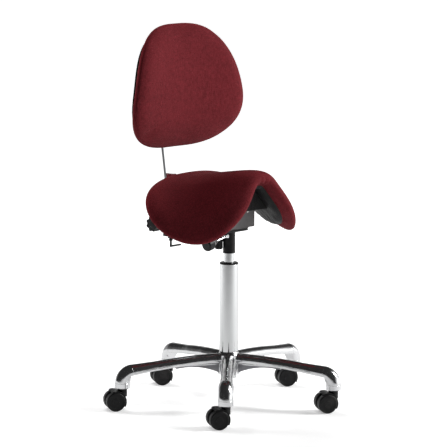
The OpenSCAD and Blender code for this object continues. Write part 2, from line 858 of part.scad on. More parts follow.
module seat_plate() {
  high = seat_plate_z + 4;
  inner = flange_half - 3;
  color(steel) difference() {
    union() {
      block(-70, 70, -56, 104, seat_plate_z, high);
      block(-flange_half, flange_half, flange_y, flange_y + 3, flange_z, seat_plate_z + 1);
      for (x = [-flange_half, inner])
        block(x, x + 3, flange_y, 76, 484, seat_plate_z + 1);
    }
    along_x(-60, tilt_y, tilt_z) cylinder(r = 5 + fit, h = 120);
    for (x = [-56, 56], y = [-40, 84]) translate([x, y, 500]) cylinder(r = 3.2, h = 40);
  }
}

function inner_z(x_part, t) =
  let (p = saddle(x_part, t) - (seat_pad / 2 + block_gap) * out_normal("seat", x_part, t)) p[2];

function reach_at(t, z, low = 0, high = 0.8, i = 0) = i == 12 ? low :
  let (m = (low + high) / 2)
  inner_z(m, t) > z ? reach_at(t, z, m, high, i + 1) : reach_at(t, z, low, m, i + 1);

module seat_block() {
  low = seat_plate_z + 4.05;
  nx = 6;
  ny = 8;
  grid = [for (j = [0:ny]) let (t = -0.62 + 1.3 * j / ny, s = reach_at(t, low + 3))
    for (i = [-nx:nx]) saddle(s * i / nx, t)
      - (seat_pad / 2 + block_gap) * out_normal("seat", s * i / nx, t)];
  flat = [for (p = grid) [p[0], p[1], low]];
  w = 2 * nx + 1;
  h = ny + 1;
  size = w * h;
  quads = [for (j = [0:h - 2], i = [0:w - 2]) let (a = j * w + i) [a, a + 1, a + w + 1, a + w]];
  top = [for (q = quads) each [[q[0], q[2], q[1]], [q[0], q[3], q[2]]]];
  bottom = [for (q = quads) each [[q[0] + size, q[1] + size, q[2] + size],
    [q[0] + size, q[2] + size, q[3] + size]]];
  edge = concat([for (i = [0:w - 2]) i], [for (j = [0:h - 2]) j * w + w - 1],
    [for (i = [w - 1:-1:1]) (h - 1) * w + i], [for (j = [h - 1:-1:1]) j * w]);
  walls = [for (k = [0:len(edge) - 1]) let (a = edge[k], b = edge[(k + 1) % len(edge)])
    each [[a, b, b + size], [a, b + size, a + size]]];
  color([0.05, 0.05, 0.05]) polyhedron(concat(grid, flat), concat(top, bottom, walls));
}

module seat_shell() {
  color([0.1, 0.1, 0.1])
    skin("seat", seat_square, -seat_pad / 2 - 1.6, -seat_pad / 2 - 4.8, lining_part, 56);
}

module seat_cushion() {
  color(fabric_red) pad("seat", seat_square, seat_pad / 2, 9, 56);
}

module seat_lining() {
  color([0.07, 0.07, 0.075]) skin("seat", seat_square, -seat_pad / 2 - 6.3,
    -seat_pad / 2 - 7.6, lining_part + 0.03, 56);
}

module seat_screws() {
  color(steel) for (x = [-56, 56], y = [-40, 84]) translate([x, y, 0]) {
    translate([0, 0, seat_plate_z - 3]) cylinder(r = 5.5, h = 3);
    translate([0, 0, seat_plate_z]) cylinder(r = 3, h = 4);
  }
  color([0.7, 0.55, 0.25]) translate([8, -58, seat_plate_z + 0.8]) rotate([90, 0, 0]) {
    translate([0, 0, -2]) cylinder(r = 1.5, h = 2);
    cylinder(r = 3, h = 1.6);
  }
}

// ---------- backrest ----------

module back_cushion() {
  color(fabric_red) pad("back", back_square, back_pad / 2, 7, 56);
}

module back_shell() {
  color(black) skin("back", back_square, -back_pad / 2 - 0.6, -back_pad / 2 - 4, 0.86, 56);
}

module on_back(behind, up) {
  translate([0, back_y, back_z]) rotate([-back_lean, 0, 0]) translate([0, behind, up])
    children();
}

module back_mount() {
  color(black) {
    on_bar(slider_at) difference() {
      union() {
        along_x(-6.4, -20, 0) cylinder(r = 8, h = 12.8);
        translate([-6.4, -46, -8]) cube([12.8, 26, 16]);
      }
      along_x(-20, -20, 0) cylinder(r = 4 + fit, h = 40);
    }
    on_back(mount_face, -3) translate([-28, 0, -30]) cube([56, 4, 60]);
  }
}

module back_screws() {
  color(steel) on_back(mount_face + 4, -3) for (x = [-20, 20], z = [-22, 22])
    translate([x, 2.2, z]) rotate([90, 0, 0]) cylinder(r = 4, h = 2.2);
}

base_star();
column_tube();
column_bushing();
castor_stems();
castor_1_housing();
castor_1_axle();
castor_1_wheel_a();
castor_1_wheel_b();
castor_2_housing();
castor_2_axle();
castor_2_wheel_a();
castor_2_wheel_b();
castor_3_housing();
castor_3_axle();
castor_3_wheel_a();
castor_3_wheel_b();
castor_4_housing();
castor_4_axle();
castor_4_wheel_a();
castor_4_wheel_b();
castor_5_housing();
castor_5_axle();
castor_5_wheel_a();
castor_5_wheel_b();
piston_rod();
thrust_bearing();
rod_bumper();
retaining_clip();
pressure_tube();
valve_pin();
cone_socket();
housing();
base_plate();
tilt_pin();
lever_pin();
lift_lever();
lever_ferrule();
lever_knob();
tension_knob();
rear_bracket();
back_arm();
seat_plate();
seat_block();
seat_shell();
seat_cushion();
seat_lining();
seat_screws();
back_block();
clamp_screw();
hinge_bolt();
star_knob();
back_bar();
back_slider();
height_knob();
back_pin();
back_mount();
back_shell();
back_cushion();
back_screws();
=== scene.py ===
import json
import math

import bmesh
import bpy
import numpy as np
from mathutils import Matrix, Vector, noise


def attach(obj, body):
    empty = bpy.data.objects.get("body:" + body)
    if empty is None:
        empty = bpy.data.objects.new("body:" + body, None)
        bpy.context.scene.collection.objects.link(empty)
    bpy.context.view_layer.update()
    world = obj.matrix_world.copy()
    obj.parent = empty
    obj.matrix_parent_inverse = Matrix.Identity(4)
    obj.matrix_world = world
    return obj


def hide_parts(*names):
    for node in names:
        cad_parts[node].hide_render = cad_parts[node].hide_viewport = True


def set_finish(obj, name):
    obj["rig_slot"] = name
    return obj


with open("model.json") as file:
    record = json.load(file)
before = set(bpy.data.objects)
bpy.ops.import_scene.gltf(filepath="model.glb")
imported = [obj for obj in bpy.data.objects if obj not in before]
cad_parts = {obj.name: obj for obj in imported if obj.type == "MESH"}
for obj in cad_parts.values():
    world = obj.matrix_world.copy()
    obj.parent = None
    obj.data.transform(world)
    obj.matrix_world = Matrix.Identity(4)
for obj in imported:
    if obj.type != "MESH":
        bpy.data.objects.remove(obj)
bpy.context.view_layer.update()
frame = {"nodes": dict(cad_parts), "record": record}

scene = bpy.context.scene
scene.view_settings.view_transform = "Standard"

# ---------------------------------------------------------------- camera

CHAIR_TURN = math.radians(46)  # the seat's front points this far round from the camera
CAMERA_AWAY, CAMERA_UP = 7.0, 1.58023
CAMERA_PITCH, CAMERA_YAW, CAMERA_ROLL = 0.155881, -0.0019472, 0.0032785
CAMERA_LENS = 216.8


def from_view(right, away, up):
    """A point given as seen from the camera's side, in the chair's frame."""
    c, s = math.cos(CHAIR_TURN), math.sin(CHAIR_TURN)
    return Vector((right * c + away * s, -right * s + away * c, up))


def make_camera():
    data = bpy.data.cameras.new("camera")
    data.sensor_width = 36
    data.lens = CAMERA_LENS
    data.clip_end = 200
    camera = bpy.data.objects.new("camera", data)
    scene.collection.objects.link(camera)
    forward = from_view(
        math.sin(CAMERA_YAW) * math.cos(CAMERA_PITCH),
        math.cos(CAMERA_YAW) * math.cos(CAMERA_PITCH),
        -math.sin(CAMERA_PITCH))
    right = forward.cross(Vector((0, 0, 1))).normalized()
    up = right.cross(forward)
    c, s = math.cos(CAMERA_ROLL), math.sin(CAMERA_ROLL)
    right, up = c * right + s * up, c * up - s * right
    turn = Matrix((right, up, -forward)).transposed()
    camera.matrix_world = (
        Matrix.Translation(from_view(0, -CAMERA_AWAY, CAMERA_UP)) @ turn.to_4x4())
    scene.camera = camera


make_camera()

# ---------------------------------------------------------------- light and floor


def soft_light(name, place, aim, width, height, power, shiny=True):
    data = bpy.data.lights.new(name, "AREA")
    data.shape = "RECTANGLE"
    data.size, data.size_y = width, height
    data.energy = power
    light = bpy.data.objects.new(name, data)
    light.location = from_view(*place)
    light.rotation_euler = (from_view(*aim) - light.location).to_track_quat("-Z", "Y").to_euler()
    light.visible_camera = False
    light.visible_glossy = shiny
    scene.collection.objects.link(light)


# The overhead and the rim reach the cloth, but don't show in the metal.
soft_light("key", (3.1, 0.1, 2.3), (0, 0, 0.6), 1.0, 1.3, 124)
soft_light("overhead", (-1.0, 1.9, 3.0), (0, 0, 0.3), 1.6, 1.3, 76, shiny=False)
soft_light("rim", (-2.6, 0.6, 1.3), (0, 0, 0.5), 0.8, 1.0, 34, shiny=False)


class Nodes:
    """Short names for building one node tree."""

    def __init__(self, tree):
        self.tree = tree
        tree.nodes.clear()

    def add(self, kind, values=(), **settings):
        node = self.tree.nodes.new("ShaderNode" + kind)
        for key, value in settings.items():
            setattr(node, key, value)
        for key, value in dict(values).items():
            self.put(node.inputs[key], value)
        return node

    def put(self, socket, value):
        if isinstance(value, bpy.types.NodeSocket):
            self.tree.links.new(value, socket)
        elif isinstance(value, tuple) and len(value) == 3 and socket.type == "RGBA":
            socket.default_value = (*value, 1)
        else:
            socket.default_value = value

    def math(self, operation, a, b=0.0, c=0.0):
        node = self.add("Math", operation=operation)
        for socket, value in zip(node.inputs, (a, b, c)):
            self.put(socket, value)
        return node.outputs[0]

    def vector(self, operation, a, b=(0, 0, 0)):
        node = self.add("VectorMath", operation=operation)
        self.put(node.inputs[0], a)
        if operation == "SCALE":
            self.put(node.inputs["Scale"], b)
        else:
            self.put(node.inputs[1], b)
        return node.outputs["Value" if operation == "DOT_PRODUCT" else "Vector"]

    def remap(self, value, low, high, new_low=0.0, new_high=1.0):
        node = self.add("MapRange", {"Value": value, "From Min": low, "From Max": high,
                                     "To Min": new_low, "To Max": new_high})
        return node.outputs["Result"]

    def mix(self, share, a, b):
        node = self.add("Mix", data_type="RGBA")
        self.put(node.inputs[0], share)
        self.put(node.inputs[6], a)
        self.put(node.inputs[7], b)
        return node.outputs[2]

    def noise(self, place, scale, detail=2.0, rough=0.5):
        node = self.add("TexNoise", {"Vector": place, "Scale": scale, "Detail": detail,
                                     "Roughness": rough})
        return node.outputs[0]

    def bump(self, height, distance, strength=1.0, normal=None):
        node = self.add("Bump", {"Height": height, "Distance": distance, "Strength": strength})
        if normal is not None:
            self.put(node.inputs["Normal"], normal)
        return node.outputs["Normal"]


def make_world():
    world = bpy.data.worlds.new("studio")
    scene.world = world
    world.use_nodes = True
    n = Nodes(world.node_tree)
    direction = n.add("TexCoord").outputs["Generated"]
    height = n.add("SeparateXYZ", {"Vector": direction}).outputs["Z"]
    behind = n.vector("DOT_PRODUCT", direction, tuple(from_view(0.35, 1, 0).normalized()))
    beside = n.vector("DOT_PRODUCT", direction, tuple(from_view(1, 0, 0)))
    far_wall = n.math("MULTIPLY", n.remap(height, 0.04, 0.42, 1.0, 0.0),
                      n.remap(behind, -0.1, 0.9, 0.0, 1.0))
    side_wall = n.math("MULTIPLY", n.remap(height, 0.2, 0.55, 1.0, 0.0),
                       n.remap(beside, 0.7, 0.96, 0.0, 1.5))
    strength = n.math("ADD", 0.03, n.math("ADD", far_wall, side_wall))
    seen = n.add("LightPath").outputs["Is Camera Ray"]
    strength = n.math("MAXIMUM", strength, seen)
    back = n.add("Background", {"Color": (1.0, 1.0, 1.0), "Strength": strength})
    out = n.add("OutputWorld")
    n.put(out.inputs["Surface"], back.outputs[0])


make_world()


def new_material(name):
    material = bpy.data.materials.new(name)
    material.use_nodes = True
    n = Nodes(material.node_tree)
    shader = n.add("BsdfPrincipled")
    n.put(n.add("OutputMaterial").inputs["Surface"], shader.outputs[0])
    return material, n, shader, n.add("TexCoord").outputs["Object"]


def make_floor():
    material, n, shader, place = new_material("studio_floor")
    tone = n.remap(n.noise(place, 3.0), 0.3, 0.7, 0.84, 0.87)
    colour = n.add("CombineColor", {"Red": tone, "Green": tone, "Blue": tone}).outputs[0]
    n.put(shader.inputs["Base Color"], colour)
    n.put(shader.inputs["Roughness"], n.remap(n.noise(place, 40.0), 0.3, 0.7, 0.6, 0.75))
    n.put(shader.inputs["Specular IOR Level"], 0.2)
    n.put(shader.inputs["Emission Color"], (1.0, 1.0, 1.0))
    away = n.add("VectorMath", {0: place}, operation="LENGTH").outputs["Value"]
    toward = n.vector("DOT_PRODUCT", place, tuple(from_view(0, 1, 0)))
    across = n.vector("DOT_PRODUCT", place, tuple(from_view(1, 0, 0)))
    # The backdrop looks whiter than the light that it sends back on to the chair.
    plain = n.remap(away, 0.9, 3.5, 0.37, 0.95)
    sent = n.math("MULTIPLY", n.remap(toward, -2.4, -1.0, 0.05, 1.0),
                  n.remap(across, -3.2, -1.9, 0.08, 1.0))
    sent = n.math("MULTIPLY", sent, n.remap(toward, 1.0, 3.0, 0.26, 0.9))
    seen = n.add("LightPath").outputs["Is Camera Ray"]
    share = n.math("MAXIMUM", sent, seen)
    n.put(shader.inputs["Emission Strength"], n.math("MULTIPLY", plain, share))
    half = 45
    mesh = bpy.data.meshes.new("floor")
    corners = [(-half, -half, 0), (half, -half, 0), (half, half, 0), (-half, half, 0)]
    mesh.from_pydata(corners, [], [(0, 1, 2, 3)])
    mesh.materials.append(material)
    floor = bpy.data.objects.new("floor", mesh)
    floor.location.z = -0.0003
    scene.collection.objects.link(floor)


make_floor()

# ---------------------------------------------------------------- materials


def weave_nodes(n, place, pitch):
    """A plain weave laid on from three sides: (height, warp share), both 0 to 1."""
    facing = n.add("TexCoord").outputs["Normal"]
    weights = n.add("SeparateXYZ", {"Vector": n.vector("ABSOLUTE", facing)}).outputs
    wander = n.vector("SCALE", n.add("TexNoise", {"Vector": place, "Scale": 22.0}).outputs["Color"],
                      pitch * 2.4)
    p = n.add("SeparateXYZ", {"Vector": n.vector("SCALE", n.vector("ADD", place, wander),
                                                 math.pi / pitch)}).outputs
    waves = [n.math("SINE", axis) for axis in p]
    height, warp, total = 0.0, 0.0, 0.0
    for a, b, w in ((1, 2, 0), (0, 2, 1), (0, 1, 2)):
        weight = n.math("POWER", weights[w], 6.0)
        over = n.math("MULTIPLY", waves[a], waves[b])
        over = n.remap(over, -0.35, 0.35)
        along_a = n.math("ABSOLUTE", waves[a])
        along_b = n.math("ABSOLUTE", waves[b])
        thread = n.math("ADD", n.math("MULTIPLY", over, along_a),
                        n.math("MULTIPLY", n.math("SUBTRACT", 1.0, over), along_b))
        height = n.math("ADD", height, n.math("MULTIPLY", thread, weight))
        warp = n.math("ADD", warp, n.math("MULTIPLY", over, weight))
        total = n.math("ADD", total, weight)
    return n.math("DIVIDE", height, total), n.math("DIVIDE", warp, total)


def fabric(name, dark, light, fleck, pitch, sheen, sheen_tint, rough, lift):
    """Woven cloth: two tones of thread, flecks of a third, slubs, painted shade between the
    threads, and a soft sheen.
    """
    material, n, shader, place = new_material(name)
    height, warp = weave_nodes(n, place, pitch)
    upright = n.vector("MULTIPLY", place, (1.0, 1.0, 0.12))
    lengthways = n.vector("MULTIPLY", place, (0.12, 1.0, 1.0))
    slub = n.math("ADD", n.math("MULTIPLY", warp, n.noise(upright, 0.8 / pitch, 3.0)),
                  n.math("MULTIPLY", n.math("SUBTRACT", 1.0, warp),
                         n.noise(lengthways, 0.8 / pitch, 3.0)))
    colour = n.mix(n.remap(slub, 0.36, 0.64), dark, light)
    flecks = n.remap(n.noise(place, 0.55 / pitch, 4.0, 0.7), 0.58, 0.72, 0.0, 0.55)
    colour = n.mix(flecks, colour, fleck)
    blend = n.noise(n.vector("MULTIPLY", place, (1.0, 1.0, 0.4)), 0.38 / pitch, 3.0, 0.6)
    colour = n.mix(n.remap(blend, 0.42, 0.66, 0.0, 0.55), colour, tuple(0.6 * c for c in dark))
    worn = n.remap(n.noise(place, 9.0, 3.0), 0.38, 0.68, 0.0, 0.16)
    colour = n.mix(worn, colour, light)
    # Painted shade: the low places of the weave, between the threads, are darkened.
    painted_gap_shade = n.remap(height, 0.15, 0.75, 0.55, 0.0)
    colour = n.mix(painted_gap_shade, colour, tuple(0.45 * c for c in dark))
    n.put(shader.inputs["Base Color"], colour)
    n.put(shader.inputs["Roughness"], n.remap(slub, 0.3, 0.7, rough * 0.82, rough))
    n.put(shader.inputs["Specular IOR Level"], 0.5 - 0.4 * rough)
    n.put(shader.inputs["Sheen Weight"], sheen)
    n.put(shader.inputs["Sheen Roughness"], 0.4)
    n.put(shader.inputs["Sheen Tint"], sheen_tint)
    nap = n.math("MULTIPLY", n.noise(place, 1900.0, 2.0), 0.35)
    relief = n.math("ADD", height, n.math("ADD", nap, n.math("MULTIPLY", slub, 0.6)))
    n.put(shader.inputs["Normal"], n.bump(relief, lift, 0.7))
    return material


def edge_nodes(n, radius):
    """The rounded normal of a sharp CAD edge, and how close that edge is, from 0 to 1."""
    soft = n.add("Bevel", {"Radius": radius}, samples=4).outputs[0]
    flat = n.add("NewGeometry").outputs["Normal"]
    near = n.remap(n.vector("DOT_PRODUCT", soft, flat), 0.999, 0.93)
    return soft, near


WEB_TOP, WEB_START, WEB_END = 0.107, 0.0306, 0.1485


def cast_web_and_painted_shade(n, place, base, finish):
    """The webs under the arms, near the hub, are left as cast and less smooth; their darker grey
    colour is painted shade under the arms.
    """
    axis = n.add("SeparateXYZ", {"Vector": place}).outputs
    flat = n.add("CombineXYZ", {"X": axis[0], "Y": axis[1]}).outputs[0]
    out = n.add("VectorMath", {0: flat}, operation="LENGTH").outputs["Value"]
    low = n.remap(axis[2], WEB_TOP - 0.0008, WEB_TOP + 0.0008, 1.0, 0.0)
    past_hub = n.remap(out, WEB_START - 0.0006, WEB_START + 0.0006)
    before_end = n.remap(out, WEB_END - 0.0015, WEB_END + 0.0015, 1.0, 0.0)
    web = n.math("MULTIPLY", low, n.math("MULTIPLY", past_hub, before_end))
    skin = n.noise(place, 420.0, 3.0)
    # Painted shade: a dark grey for the webs, under the arms.
    grey = n.mix(skin, (0.15, 0.15, 0.16), (0.3, 0.3, 0.315))
    return (n.mix(web, base, grey),
            n.math("ADD", finish, n.math("MULTIPLY", web, n.remap(skin, 0.3, 0.7, 0.16, 0.3))))


def metal(name, colour, rough, waves, worn, grime, edge=0.0006, cast=False):
    """Bare or plated metal: slight waves in the surface, faint marks and rubbed edges."""
    material, n, shader, place = new_material(name)
    soft, near = edge_nodes(n, edge)
    smear = n.noise(place, 14.0, 5.0, 0.62)
    marks = n.noise(n.vector("MULTIPLY", place, (1.0, 1.0, 5.0)), 260.0, 3.0)
    dull = n.remap(smear, 0.45, 0.75, 0.0, grime)
    base = n.mix(dull, colour, tuple(0.55 * c for c in colour))
    base = n.mix(n.math("MULTIPLY", near, 0.6), base, worn)
    finish = n.remap(smear, 0.3, 0.75, rough * 0.75, rough * 1.35)
    finish = n.math("ADD", finish, n.remap(marks, 0.55, 0.8, 0.0, rough * 0.4))
    # The webs under the arms get a rougher cast finish and a darker colour that is painted shade.
    if cast:
        base, finish = cast_web_and_painted_shade(n, place, base, finish)
    n.put(shader.inputs["Base Color"], base)
    n.put(shader.inputs["Metallic"], 1.0)
    n.put(shader.inputs["Roughness"], finish)
    relief = n.math("ADD", n.noise(place, 30.0, 1.0), n.math("MULTIPLY", marks, 0.02))
    n.put(shader.inputs["Normal"], n.bump(relief, waves, 1.0, soft))
    return material


def moulded(name, colour, rough, grain, lift, dust, dust_colour, edge=0.0007):
    """Moulded plastic, rubber or powder coat: fine grain, dust in it, and paler edges."""
    material, n, shader, place = new_material(name)
    soft, near = edge_nodes(n, edge)
    cells = n.add("TexVoronoi", {"Vector": place, "Scale": grain}, feature="SMOOTH_F1").outputs[0]
    fine = n.noise(place, grain * 1.7, 2.0)
    cloud = n.noise(place, 18.0, 4.0, 0.6)
    base = n.mix(n.remap(cloud, 0.35, 0.7), colour, tuple(1.4 * c + 0.002 for c in colour))
    base = n.mix(n.remap(cloud, 0.5, 0.85, 0.0, dust), base, dust_colour)
    base = n.mix(n.math("MULTIPLY", near, 0.35), base, tuple(0.5 * c + 0.02 for c in dust_colour))
    n.put(shader.inputs["Base Color"], base)
    n.put(shader.inputs["Roughness"], n.remap(fine, 0.3, 0.7, rough * 0.85, rough * 1.2))
    n.put(shader.inputs["Specular IOR Level"], 0.2)
    relief = n.math("ADD", cells, n.math("MULTIPLY", fine, 0.5))
    n.put(shader.inputs["Normal"], n.bump(relief, lift, 0.6, soft))
    return material


DUST = (0.10, 0.094, 0.088)
LOOKS = {
    "polished_aluminium": metal("polished_aluminium", (0.70, 0.705, 0.715), 0.17, 0.0016,
                                (0.85, 0.85, 0.85), 0.12, 0.001, cast=True),
    "chrome": metal("chrome", (0.62, 0.63, 0.635), 0.055, 0.00025, (0.9, 0.9, 0.9), 0.05),
    "steel": metal("steel", (0.52, 0.50, 0.47), 0.26, 0.0004, (0.75, 0.73, 0.7), 0.3),
    "grey_steel": moulded("grey_steel", (0.13, 0.125, 0.125), 0.42, 900.0, 0.0001, 0.25,
                          (0.3, 0.29, 0.28)),
    "black_steel": moulded("black_steel", (0.010, 0.010, 0.011), 0.4, 1100.0, 0.0001, 0.2, DUST),
    "black_plastic": moulded("black_plastic", (0.006, 0.006, 0.0065), 0.36, 1500.0, 0.00008,
                             0.12, DUST),
    "wheel_plastic": moulded("wheel_plastic", (0.008, 0.008, 0.0085), 0.44, 1300.0, 0.0001,
                             0.35, DUST),
    "black_rubber": moulded("black_rubber", (0.02, 0.02, 0.02), 0.6, 800.0, 0.00015, 0.2, DUST),
    "burgundy_fabric": fabric("burgundy_fabric", (0.115, 0.009, 0.013), (0.25, 0.026, 0.035),
                              (0.36, 0.066, 0.08), 0.0014, 0.045, (0.85, 0.3, 0.3), 0.95,
                              0.0007),
    "black_lining": fabric("black_lining", (0.004, 0.004, 0.005), (0.014, 0.013, 0.013),
                           (0.05, 0.047, 0.044), 0.0011, 0.03, (0.7, 0.7, 0.7), 0.66, 0.0003),
}

for part in frame["record"]["subparts"]:
    shown = frame["nodes"][part["node"]]
    shown.data.materials.clear()
    shown.data.materials.append(LOOKS[part["material_slot"]])
    shown["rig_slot"] = part["material_slot"]

# ---------------------------------------------------------------- upholstery surfaces
# The saddle and the backrest repeat the CAD's surfaces, in millimetres until the last step.

MM = 0.001
SEAT_HALF_THICK, SEAT_ROUND, SEAT_POWER = 19.8, 9, 5
BACK_HALF_THICK, BACK_ROUND, BACK_POWER = 22.9, 7, 3


def through(values, t):
    """The polynomial through equally spaced values, from t = -1 to t = 1."""
    knots = np.linspace(-1, 1, len(values))
    total = 0
    for value, knot in zip(values, knots):
        term = value
        for other in knots:
            if other != knot:
                term = term * (t - other) / (knot - other)
        total = total + term
    return total


def saddle(s, t):
    arc = abs(s) * through((150, 233.6, 253.9, 241.7, 191.6), t)
    steps = 12
    across, drop = 0, 0
    for i in range(steps):
        part = np.minimum(1, arc * (i + 0.5) / steps / (96 + 53 * t))
        slope = np.radians(through((50.5, 42.4, 5.8), t)) * part * part * (3 - 2 * part)
        across = across + np.cos(slope) * arc / steps
        drop = drop + np.sin(slope) * arc / steps
    y = 22.5 + 147.4 * t - 41 * s**2 + 11.4 * s**4 + t * (4 * s**2 - 10 * s**4)
    z = through((609.5, 610.2, 600.9, 590.6, 587.9), t) - drop
    return np.stack([np.sign(s) * across, y, z], -1)


def backrest(s, t):
    lean = math.radians(3.8)
    x = s * through((206, 208.8, 193.4, 170.3, 149.5), t)
    depth = 22.8 * t**2 - 12.1 * t**3 - (33 + 15 * t) * (x / 190)**2
    up = 164.7 * t
    y = 178.3 + up * math.sin(lean) + depth * math.cos(lean)
    z = 833.3 + up * math.cos(lean) - depth * math.sin(lean)
    return np.stack([x, y, z], -1)


def face_normal(surface, s, t, outward):
    """The unit normal of a surface, on the side that outward points to."""
    step = 0.002
    ds = surface(s + step, t) - surface(s - step, t)
    dt = surface(s, t + step) - surface(s, t - step)
    n = np.cross(ds, dt)
    n = n / np.linalg.norm(n, axis=-1, keepdims=True)
    side = np.sign(n @ np.array(outward))[..., None]
    return n * np.where(side == 0, 1, side)


def on_surface(surface, s, t, off, outward):
    return surface(s, t) + np.asarray(off)[..., None] * face_normal(surface, s, t, outward)


def squared(angle, power):
    k = (abs(np.cos(angle))**power + abs(np.sin(angle))**power)**(-1 / power)
    return np.cos(angle) * k, np.sin(angle) * k


def square_grid(rings, power):
    """A quad grid that fills the outline: index pairs, its (s, t) direction and ring number."""
    i, j = np.meshgrid(np.arange(-rings, rings + 1), np.arange(-rings, rings + 1), indexing="ij")
    ring = np.maximum(abs(i), abs(j))
    size = (abs(i / np.maximum(ring, 1))**power
            + abs(j / np.maximum(ring, 1))**power)**(1 / power)
    size = np.where(ring == 0, 1, size)
    return ring, i / np.maximum(ring, 1) / size, j / np.maximum(ring, 1) / size


def new_object(name, points, faces, smooth=True):
    mesh = bpy.data.meshes.new(name)
    mesh.from_pydata([tuple(p) for p in points], [], faces)
    mesh.validate()
    if smooth:
        mesh.shade_smooth()
    made = bpy.data.objects.new(name, mesh)
    scene.collection.objects.link(made)
    return made


def pad_mesh(name, surface, power, half, roundness, outward, flat_rings, edge_rings, slack):
    """A closed cushion of quads. Returns the object and each point's (s, t, side)."""
    rings = flat_rings + edge_rings
    ring, ds, dt = square_grid(rings, power)
    flat_to = 0.8
    share_at_edge = math.sqrt(1 - flat_to**roundness)
    beta = np.clip((ring - flat_rings) / edge_rings, 0, 1) * math.pi / 2
    share = share_at_edge * np.cos(beta)
    radius = np.where(ring <= flat_rings, flat_to * ring / flat_rings,
                      np.maximum(0, 1 - share**2)**(1 / roundness))
    thick = half * np.sqrt(np.maximum(0, 1 - radius**roundness))
    s, t = ds * radius, dt * radius
    width = 2 * rings + 1
    rim = ring == rings
    top = on_surface(surface, s, t, thick - slack * (~rim), outward).reshape(-1, 3)
    low = on_surface(surface, s, t, -thick, outward).reshape(-1, 3)
    index = np.arange(width * width).reshape(width, width)
    under = np.full(width * width, -1)
    inner = np.flatnonzero(~rim.ravel())
    under[inner] = width * width + np.arange(len(inner))
    under = np.where(under < 0, index.ravel(), under).reshape(width, width)
    points = np.vstack([top, low[inner]])
    faces = []
    for a in range(width - 1):
        for b in range(width - 1):
            corners = ((a, b), (a + 1, b), (a + 1, b + 1), (a, b + 1))
            faces.append([index[c] for c in corners])
            faces.append([under[c] for c in reversed(corners)])
    st = np.stack([s.ravel(), t.ravel()], -1)
    st = np.vstack([st, st[inner]])
    side = np.where(rim.ravel(), 0, 1)
    side = np.concatenate([side, np.full(len(inner), -1)])
    made = new_object(name, points * MM, [[int(k) for k in f] for f in faces])
    fix_direction(made)
    return made, st, side


def fix_direction(made):
    """Turns the faces outward."""
    mesh = bmesh.new()
    mesh.from_mesh(made.data)
    bmesh.ops.recalc_face_normals(mesh, faces=mesh.faces)
    mesh.to_mesh(made.data)
    mesh.free()


def places(made):
    co = np.zeros(len(made.data.vertices) * 3)
    made.data.vertices.foreach_get("co", co)
    return co.reshape(-1, 3)


def put_places(made, co):
    made.data.vertices.foreach_set("co", co.ravel())
    made.data.update()


def vertex_normals(made):
    out = np.zeros(len(made.data.vertices) * 3)
    made.data.vertex_normals.foreach_get("vector", out)
    return out.reshape(-1, 3)


def evened(made, moved, passes):
    """Shares each point's movement with its neighbours, as taut cloth over foam does."""
    ends = np.array([e.vertices[:] for e in made.data.edges])
    count = np.bincount(ends.ravel(), minlength=len(moved))[:, None]
    for step in range(passes):
        around = np.zeros_like(moved)
        np.add.at(around, ends[:, 0], moved[ends[:, 1]])
        np.add.at(around, ends[:, 1], moved[ends[:, 0]])
        moved = 0.4 * moved + 0.6 * around / count
    return moved


CLOTH_STEPS, EVEN_PASSES = 20, 14


def inflate(made, held, free, pressure, cap):
    """Swells a closed pad as cloth under pressure, with the held points pinned."""
    group = made.vertex_groups.new(name="held")
    for i in np.flatnonzero(held > 0):
        group.add([int(i)], float(held[i]), "REPLACE")
    cloth = made.modifiers.new("cloth", "CLOTH")
    settings = cloth.settings
    settings.quality = 5
    settings.mass = 0.3
    settings.tension_stiffness = 25
    settings.compression_stiffness = 20
    settings.shear_stiffness = 8
    settings.bending_stiffness = 0.6
    settings.use_pressure = True
    settings.uniform_pressure_force = pressure
    settings.effector_weights.gravity = 0
    settings.vertex_group_mass = "held"
    cloth.collision_settings.use_collision = False
    before = places(made)
    for step in range(1, CLOTH_STEPS + 1):
        scene.frame_set(step)
    shown = made.evaluated_get(bpy.context.evaluated_depsgraph_get())
    after = np.zeros(len(before) * 3)
    shown.data.vertices.foreach_get("co", after)
    moved = evened(made, after.reshape(-1, 3) - before, EVEN_PASSES) * free[:, None]
    far = np.linalg.norm(moved, axis=1, keepdims=True)
    soft_far = cap * np.tanh(far / cap)
    made.modifiers.remove(cloth)
    made.vertex_groups.remove(group)
    put_places(made, before + moved * soft_far / np.maximum(far, 1e-9))
    scene.frame_set(1)


def noise_at(points, across, along):
    """Smooth noise at each point, with its own scale along the chair's depth."""
    return np.array([noise.noise(Vector((x * across, y * along, z * across)))
                     for x, y, z in points])


def smoothstep(x, low, high):
    u = np.clip((x - low) / (high - low), 0, 1)
    return u * u * (3 - 2 * u)


def finish_piece(made, body, look, subdivide=1):
    made.data.materials.append(LOOKS[look])
    if subdivide:
        smooth = made.modifiers.new("smooth", "SUBSURF")
        smooth.levels = smooth.render_levels = subdivide
    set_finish(made, look)
    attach(made, body)


def outline_radius(st, power):
    return (abs(st[:, 0])**power + abs(st[:, 1])**power)**(1 / power)


# ---------------------------------------------------------------- saddle pad

UP, FRONT = (0, 0, 1), (0, -1, 0)


